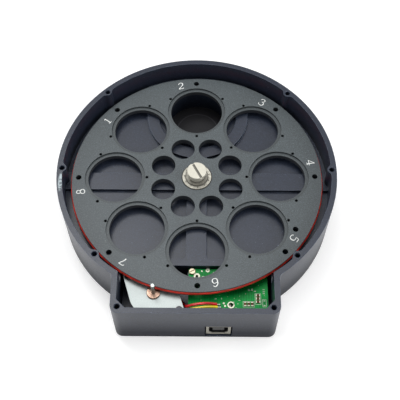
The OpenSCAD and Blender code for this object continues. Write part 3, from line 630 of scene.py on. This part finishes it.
def housing_finish(colour):
    """Blue-grey anodising, with painted shade that darkens the walls and dims their gloss low
    down, and bare along one streak.
    """
    gloss = 0.34
    finish = milled_anodised("housing_anodised", colour, HOUSING_WEAR_DUST_AND_HIGHLIGHT,
                             settings().sizes.edge_radius, 0.34, gloss)
    # Painted shade: upright walls darken and lose gloss towards the bottom, standing for the
    # shade near the floor
    low_down = finish.span(finish.axes()[2], 0.1 * RIM_Z, 0.9 * RIM_Z, 1.0, 0.0)
    low_wall_shade = finish.math("MULTIPLY", finish.upright(), low_down)
    finish.tint(finish.math("MULTIPLY", low_wall_shade, 0.5), shade(colour, 0.2))
    shade_dimmed_gloss = finish.math("SUBTRACT", gloss, finish.math("MULTIPLY", low_wall_shade, 0.29))
    finish.links.new(shade_dimmed_gloss, finish.shader.inputs["Specular IOR Level"])
    scale = [1 / reach for reach in STREAK_REACH]
    shift = [-place * factor for place, factor in zip(STREAK_PLACE, scale)]
    within = finish.span(finish.length(finish.moved(location=shift, scale=scale)),
                         0.5, 1.0, 1.0, 0.0)
    ragged = finish.span(finish.noise(900, detail=4.0), 0.4, 0.6, 0.15, 0.8)
    finish.tint(finish.math("MULTIPLY", within, ragged), STREAK_BARE)
    return finish


def plug_finish(black):
    """Black moulded plastic with a paler ring on the plug's face."""
    finish = moulded("plug_black", shade(black, 1.12), 0.5, specular=0.15)
    low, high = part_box("aperture_plug")
    middle = finish.moved(location=-(low + high) / 2)
    ring = finish.near(finish.radius(middle), PLUG_RING_RADIUS, 0.1 * MM, 0.45 * MM, 1.0)
    finish.colour(finish.mix(ring, shade(black, 1.12), shade(black, 1.7)))
    return finish


class FILTERWHEEL_OT_carousel(bpy.types.Operator):
    """Finishes the carousel and its rubber drive ring"""

    bl_idname = "filter_wheel.carousel"
    bl_label = "Carousel"

    def execute(self, context):
        colours = settings().colours
        dress("carousel", carousel_finish(colours.carousel))
        dress("drive_ring", moulded("ring_rubber", colours.rubber, 0.42, 2400))
        return {"FINISHED"}


def carousel_finish(colour):
    """Greenish grey anodising with painted shade in the bores and on the ledges, and a painted
    shadow round the bearing.
    """
    finish = milled_anodised("carousel_anodised", colour, CAROUSEL_WEAR_DUST_AND_HIGHLIGHT,
                             settings().sizes.edge_radius * 0.8, 0.45, 0.42)
    height = finish.axes()[2]
    # Painted shade: upright walls take a dark tint, lightest at the top and strongest from the
    # ledges down
    bore_shade = finish.math("MULTIPLY", finish.upright(),
                        finish.span(height, LEDGE_Z, CAROUSEL_TOP, 0.75, 0.35))
    finish.tint(bore_shade, BORE_SHADE)
    # Painted shade on the seat ledges and at the foot of their walls
    ledge_shade = finish.near(height, LEDGE_Z, 0.05 * MM, 0.35 * MM, 0.22)
    finish.tint(ledge_shade, shade(colour, 0.1))
    # Painted shadow: a dark ring round the bearing where it sits in the carousel
    line = finish.near(finish.radius(), BEARING_SHADE_RADIUS, 0.2 * MM, 0.4 * MM, 0.95)
    finish.tint(line, shade(colour, 0.1))
    return finish


def number_mesh(digit, height, weight):
    """A position number as flattened painted strokes, centred on the origin."""
    curve = bpy.data.curves.new("number", "CURVE")
    curve.dimensions = "3D"
    curve.bevel_depth = height
    curve.bevel_resolution = 2
    curve.use_fill_caps = True
    curve.resolution_u = 5
    for stroke in DIGITS[digit]:
        spline = curve.splines.new("NURBS")
        spline.points.add(len(stroke) - 1)
        spline.order_u = 3
        spline.use_endpoint_u = True
        for point, (x, y, half_width) in zip(spline.points, stroke):
            point.co = ((x - 0.5) * height, (y - 0.5) * height, 0, 1)
            point.radius = half_width * weight
    loose = bpy.data.objects.new("number", curve)
    mesh = bpy.data.meshes.new_from_object(loose)
    bpy.data.objects.remove(loose)
    bpy.data.curves.remove(curve)
    mesh.transform(Matrix.Diagonal((1, 1, NUMBER_RELIEF, 1)))
    return mesh


class FILTERWHEEL_OT_numbers(bpy.types.Operator):
    """Prints the position numbers on the carousel"""

    bl_idname = "filter_wheel.numbers"
    bl_label = "Position numbers"

    def execute(self, context):
        sizes = settings().sizes
        colours = settings().colours
        shape = bmesh.new()
        for digit in DIGITS:
            mesh = number_mesh(digit, sizes.number_height, sizes.number_weight)
            seat = radians(90 - SEAT_PITCH * (digit - BACK_SEAT) + SEAT_TURN)
            around = seat + sizes.number_lead
            place = Vector((cos(around), sin(around), 0)) * sizes.number_circle
            place.z = CAROUSEL_TOP
            mesh.transform(Matrix.Translation(place) @ Matrix.Rotation(around - pi / 2, 4, "Z"))
            shape.from_mesh(mesh)
            bpy.data.meshes.remove(mesh)
        finish = Finish("number_paint", colours.paint, roughness=0.5)
        worn = finish.noise(1500)
        finish.colour(finish.mix(finish.span(worn, 0.55, 0.75, 0.0, 0.35),
                                 colours.paint, colours.carousel))
        finish.bump(worn, 0.1, 0.02 * MM)
        add_piece("position_numbers", shape, "carousel", finish)
        return {"FINISHED"}


class FILTERWHEEL_OT_hub(bpy.types.Operator):
    """Finishes the hub: screw, spring, washer and ball bearing"""

    bl_idname = "filter_wheel.hub"
    bl_label = "Hub"

    def execute(self, context):
        nickel = settings().colours.nickel
        dress("hub_screw", screw_finish(shade(nickel, 1.06), shade(nickel, 0.62)))
        dress("hub_spring", plain_metal("spring_wire", nickel, 0.4, metallic=0.7))
        for node, name, factor, roughness, metallic in HUB_METALS:
            dress(node, turned_metal(name, shade(nickel, factor), roughness, metallic=metallic))
        add_ring_dimples()
        dress("bearing_balls", plain_metal("ball_steel", shade(nickel, 1.05), 0.1))
        dress("bearing_cage", plain_metal("cage_brass", settings().colours.brass, 0.35))
        return {"FINISHED"}


def screw_finish(bright, slot_shade):
    """Turned nickel, darkened as painted shade in the screwdriver slot and on the shank under the
    head.
    """
    finish = turned_metal("hub_screw_nickel", bright, 0.5, metallic=0.3)
    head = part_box("hub_screw")[1]
    within = finish.span(finish.radius(), head.x - 0.5 * MM, head.x - 0.35 * MM, 1.0, 0.0)
    below = finish.span(finish.axes()[2], head.z - 0.25 * MM, head.z - 0.1 * MM, 1.0, 0.0)
    # Painted shade inside the slot and under the head
    finish.colour(finish.mix(finish.math("MULTIPLY", within, below), bright, slot_shade))
    return finish


def add_ring_dimples():
    """Adds small dark discs, painted shade for the dimples round the face of the bearing's outer
    ring.
    """
    ring_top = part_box("bearing_outer_ring")[1].z
    dimples = bmesh.new()
    for step in range(DIMPLE_COUNT):
        around = tau * (step + DIMPLE_START) / DIMPLE_COUNT
        place = Vector((DIMPLE_CIRCLE * cos(around), DIMPLE_CIRCLE * sin(around), ring_top))
        add_disc(dimples, place, DIMPLE_RADIUS, DIMPLE_HEIGHT)
    add_piece("ring_dimples", dimples, "carousel",
              moulded("dimple_shade", DIMPLE_SHADE, 0.6, specular=0.1))


class FILTERWHEEL_OT_drive(bpy.types.Operator):
    """Finishes the motor, its plate, bush, shaft and screws"""

    bl_idname = "filter_wheel.drive"
    bl_label = "Drive"

    def execute(self, context):
        colours = settings().colours
        low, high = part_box("motor_shaft")
        centre = (low + high) / 2
        dress("motor_plate", plain_metal("plate_zinc", colours.zinc, 0.5, metallic=0.85))
        dress("drive_motor", plain_metal("motor_can", shade(colours.zinc, 0.75), 0.38))
        dress("shaft_bush", turned_metal("bush_bronze", colours.bronze, 0.34, centre=centre))
        dress("motor_shaft", turned_metal("shaft_steel", shade(colours.zinc, 0.92), 0.22,
                                          centre=centre))
        dress("plate_screws", plain_metal("screw_black", (0.25, 0.25, 0.26), 0.4))
        return {"FINISHED"}


class FILTERWHEEL_OT_board(bpy.types.Operator):
    """Finishes the circuit board and the parts that are soldered to it"""

    bl_idname = "filter_wheel.board"
    bl_label = "Circuit board"

    def execute(self, context):
        colours = settings().colours
        dress("circuit_board", resist_finish(colours.resist))
        add_board_pads(settings().sizes.print_thickness)
        add_board_print(settings().sizes.print_thickness)
        dress("board_screws", plain_metal("screw_yellow", colours.brass, 0.5))
        dress("chip_resistors", moulded("resistor_body", (0.40, 0.28, 0.20), 0.5, specular=0.1))
        dress("position_sensors", moulded("sensor_black", colours.black, 0.35))
        dress("controller_chip", moulded("controller_black", colours.black, 0.4))
        dress("motor_driver_chip", moulded("driver_black", colours.black, 0.4))
        dress("solder_joints", plain_metal("solder", (0.60, 0.60, 0.58), 0.45, metallic=0.7))
        return {"FINISHED"}


def on_board(x, y):
    """A point on the board's upper face, from millimetres on the board."""
    return Vector((BOARD_LOW.x, BOARD_LOW.y, BOARD_TOP)) + Vector((x, y, 0)) * MM


def add_board_pads(thick):
    """Adds the board's tinned rings and dots and the resistors' tinned ends."""
    tinned = bmesh.new()
    for x, y, inner, outer in PADS:
        add_washer(tinned, on_board(x, y), inner * MM, outer * MM, thick)
    for x, y, radius in VIAS:
        add_disc(tinned, on_board(x, y), radius * MM, thick)
    for x, y, turn in RESISTORS:
        for side in (-1, 1):
            end = Matrix.Rotation(radians(turn), 3, "Z") @ Vector((side * END_REACH, 0, END_RISE))
            add_block(tinned, on_board(x, y) + end * MM, Vector(END_SIZE) * MM,
                      radians(turn), END_EDGE * MM)
    add_piece("board_pads", tinned, "base",
              plain_metal("pad_tin", settings().colours.tin, 0.45, metallic=0.6))


def add_board_print(thick):
    """Adds the board's printed frames and marks."""
    printed = bmesh.new()
    strips = list(MARKS)
    for left, front, right, back in FRAMES:
        middle_x, middle_y = (left + right) / 2, (front + back) / 2
        strips += [(x, middle_y, FRAME_LINE, back - front) for x in (left, right)]
        strips += [(middle_x, y, right - left + FRAME_LINE, FRAME_LINE) for y in (front, back)]
    for x, y, width, length in strips:
        centre = on_board(x, y) + Vector((0, 0, thick / 2))
        add_block(printed, centre, (width * MM, length * MM, thick))
    add_piece("board_print", printed, "base",
              moulded("print_white", settings().colours.print, 0.6, specular=0.1))


def resist_finish(green):
    """Green solder resist with copper tracks showing through."""
    finish = Finish("solder_resist", green, roughness=0.4, specular=0.12)
    tracks = finish.nodes.new("ShaderNodeTexBrick")
    tracks.offset = 0.5
    tracks.inputs["Scale"].default_value = 260
    tracks.inputs["Mortar Size"].default_value = 0.06
    tracks.inputs["Mortar Smooth"].default_value = 0.2
    tracks.inputs["Brick Width"].default_value = 1.1
    tracks.inputs["Row Height"].default_value = 0.33
    tracks.inputs["Color1"].default_value = (0, 0, 0, 1)
    tracks.inputs["Color2"].default_value = (0, 0, 0, 1)
    tracks.inputs["Mortar"].default_value = (1, 1, 1, 1)
    finish.links.new(finish.moved(turn=radians(90)), tracks.inputs["Vector"])
    pours = finish.span(finish.noise(130, detail=1.0), 0.47, 0.53)
    copper = finish.math("MAXIMUM", tracks.outputs["Fac"], pours)
    crowded = finish.span(finish.noise(75, detail=3.0), 0.42, 0.64, 0.0, 0.45)
    finish.colour(finish.mix(copper, shade(green, 0.88), green))
    finish.tint(crowded, shade(green, 0.62))
    finish.bump(copper, 0.1, 0.03 * MM)
    return finish


class FILTERWHEEL_OT_socket(bpy.types.Operator):
    """Finishes the USB socket"""

    bl_idname = "filter_wheel.socket"
    bl_label = "USB socket"

    def execute(self, context):
        colours = settings().colours
        dress("usb_shell", plain_metal("socket_shell", shade(colours.nickel, 0.86), 0.5))
        dress("usb_insert", moulded("socket_insert", shade(colours.black, 0.8), 0.35))
        dress("usb_contacts", plain_metal("contact_gold", (0.92, 0.76, 0.42), 0.25))
        return {"FINISHED"}


class FILTERWHEEL_OT_leads(bpy.types.Operator):
    """Finishes the motor's two leads"""

    bl_idname = "filter_wheel.leads"
    bl_label = "Motor leads"

    def execute(self, context):
        colours = settings().colours
        dress("red_lead", moulded("lead_red", colours.red, 0.32, 1800, coat=0.2))
        dress("yellow_lead", moulded("lead_yellow", colours.yellow, 0.32, 1800, coat=0.2))
        return {"FINISHED"}


OPERATORS = (
    FILTERWHEEL_OT_stage,
    FILTERWHEEL_OT_housing,
    FILTERWHEEL_OT_carousel,
    FILTERWHEEL_OT_numbers,
    FILTERWHEEL_OT_hub,
    FILTERWHEEL_OT_drive,
    FILTERWHEEL_OT_board,
    FILTERWHEEL_OT_socket,
    FILTERWHEEL_OT_leads,
)


class WheelSettings(bpy.types.PropertyGroup):
    """All settings of the dressing"""

    sizes: PointerProperty(type=WheelSizes)
    colours: PointerProperty(type=WheelColours)
    view: PointerProperty(type=WheelView)


class FILTERWHEEL_PT_panel(bpy.types.Panel):
    """Lists the dressing's steps and settings"""

    bl_label = "Filter wheel"
    bl_idname = "FILTERWHEEL_PT_panel"
    bl_space_type = "VIEW_3D"
    bl_region_type = "UI"
    bl_category = "Filter wheel"

    def draw(self, context):
        layout = self.layout
        for operator in OPERATORS:
            layout.operator(operator.bl_idname)
        for group in (settings().sizes, settings().colours, settings().view):
            for name in group.bl_rna.properties.keys():
                if name not in ("rna_type", "name"):
                    layout.prop(group, name)


CLASSES = (WheelSizes, WheelColours, WheelView, WheelSettings, *OPERATORS, FILTERWHEEL_PT_panel)


def register():
    """Registers the classes and hangs the settings on the scene."""
    for cls in CLASSES:
        bpy.utils.register_class(cls)
    bpy.types.Scene.filter_wheel = PointerProperty(type=WheelSettings)


def unregister():
    """Takes the settings and the classes away again."""
    del bpy.types.Scene.filter_wheel
    for cls in reversed(CLASSES):
        bpy.utils.unregister_class(cls)


def main():
    """Registers the classes and dresses the wheel."""
    register()
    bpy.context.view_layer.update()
    for operator in OPERATORS:
        category, name = operator.bl_idname.split(".")
        getattr(getattr(bpy.ops, category), name)()


if __name__ == "__main__":
    main()
